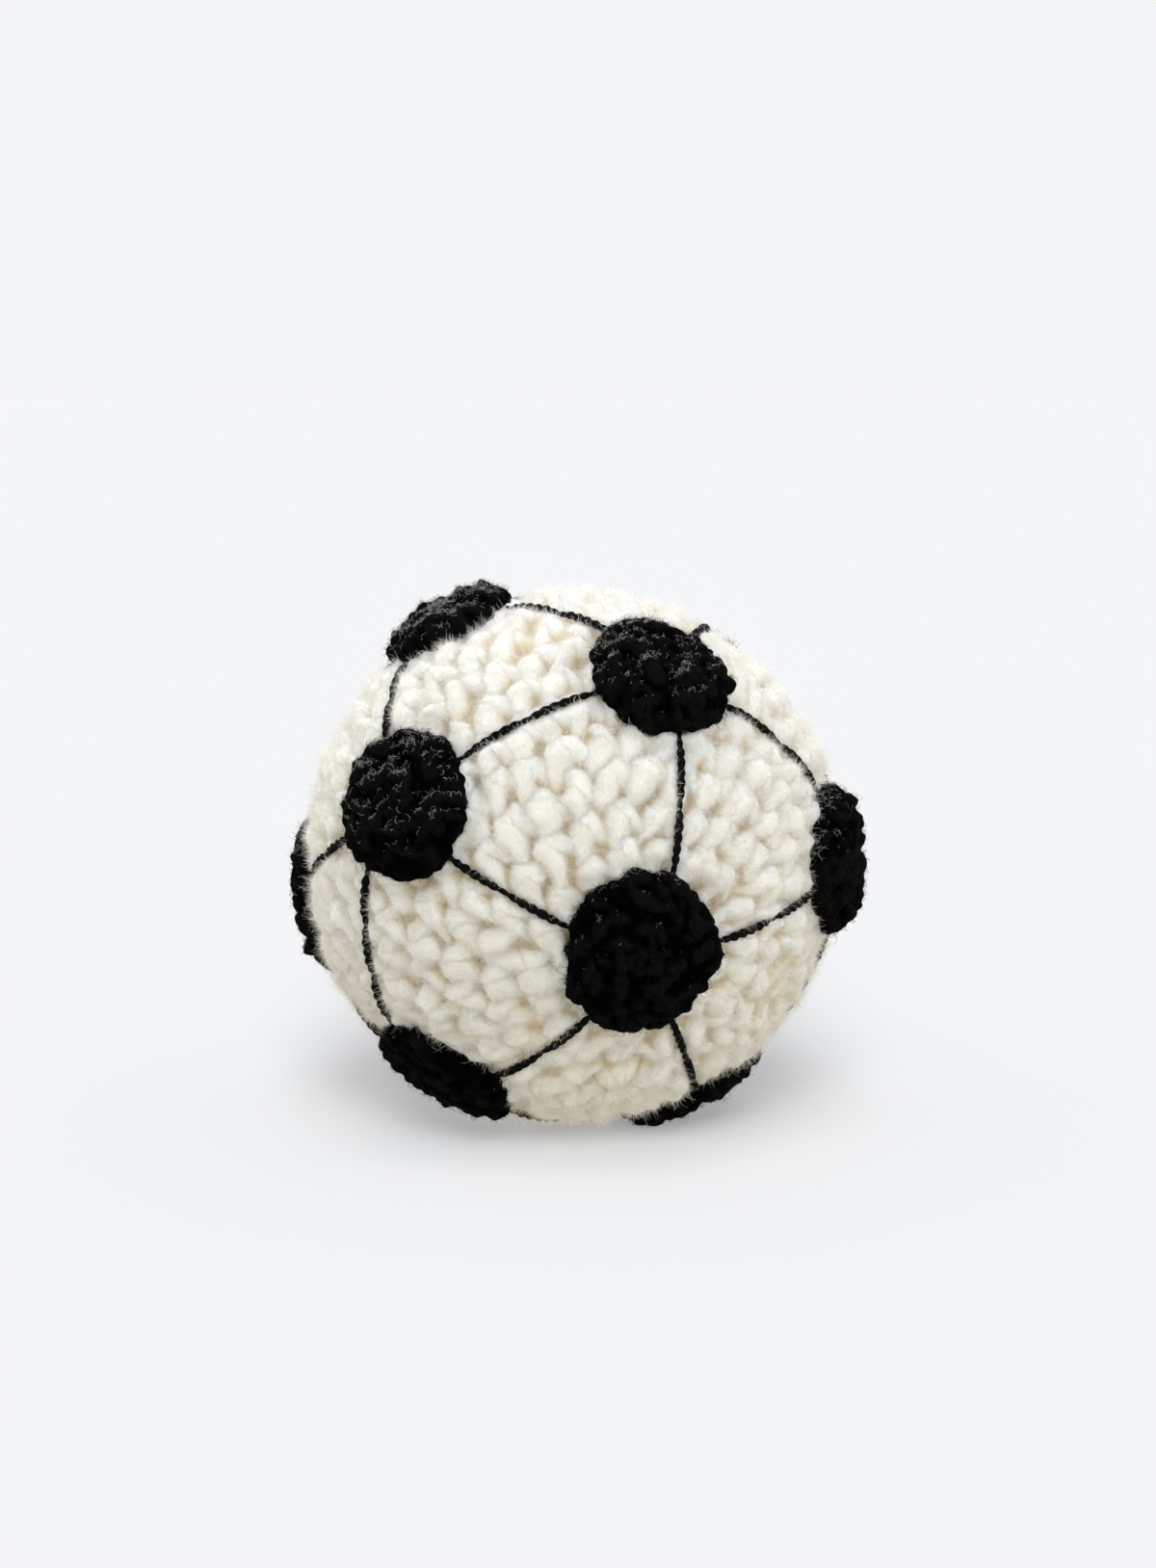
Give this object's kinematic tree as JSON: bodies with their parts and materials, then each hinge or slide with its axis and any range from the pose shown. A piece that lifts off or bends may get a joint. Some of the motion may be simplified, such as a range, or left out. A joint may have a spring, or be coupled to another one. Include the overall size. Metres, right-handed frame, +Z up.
{
  "type": "footbag",
  "caption": "Crocheted pellet-filled footbag with a white ribbed cover, round black patches and backstitched seam lines in the football pattern.",
  "frame": {"origin": "on the floor under the middle of the ball, on the flat that the resting ball settles on", "axes": "+Z up, -Y towards the viewer of the picture, +X to the viewer's right"},
  "size_m": [0.0635, 0.063, 0.06],
  "materials": {
    "white_yarn": "thick soft ivory wool yarn, matt and fuzzy",
    "black_yarn": "black wool yarn with grey fibre tips",
    "black_thread": "black two-ply thread",
    "pouch_cloth": "thin undyed lining cloth",
    "pellets": "small translucent white plastic pellets"
  },
  "bodies": {
    "root": {"white_cover": "white_yarn", "inner_pouch": "pouch_cloth", "pellet_fill": "pellets", "patch_front": "black_yarn", "patch_crown": "black_yarn", "patch_left": "black_yarn", "patch_base_left": "black_yarn", "patch_base_right": "black_yarn", "patch_right": "black_yarn", "patch_crown_left": "black_yarn", "patch_left_rear": "black_yarn", "patch_base_rear": "black_yarn", "patch_right_rear": "black_yarn", "patch_crown_rear": "black_yarn", "patch_rear": "black_yarn", "seam_front_crown": "black_thread", "seam_front_left": "black_thread", "seam_front_base_left": "black_thread", "seam_front_base_right": "black_thread", "seam_front_right": "black_thread", "seam_crown_left": "black_thread", "seam_crown_right": "black_thread", "seam_crown_crown_left": "black_thread", "seam_crown_crown_rear": "black_thread", "seam_left_base_left": "black_thread", "seam_left_crown_left": "black_thread", "seam_left_left_rear": "black_thread", "seam_base_left_base_right": "black_thread", "seam_base_left_left_rear": "black_thread", "seam_base_left_base_rear": "black_thread", "seam_base_right_right": "black_thread", "seam_base_right_base_rear": "black_thread", "seam_base_right_right_rear": "black_thread", "seam_right_right_rear": "black_thread", "seam_right_crown_rear": "black_thread", "seam_crown_left_left_rear": "black_thread", "seam_crown_left_crown_rear": "black_thread", "seam_crown_left_rear": "black_thread", "seam_left_rear_base_rear": "black_thread", "seam_left_rear_rear": "black_thread", "seam_base_rear_right_rear": "black_thread", "seam_base_rear_rear": "black_thread", "seam_right_rear_crown_rear": "black_thread", "seam_right_rear_rear": "black_thread", "seam_crown_rear_rear": "black_thread"}
  },
  "joints": []
}
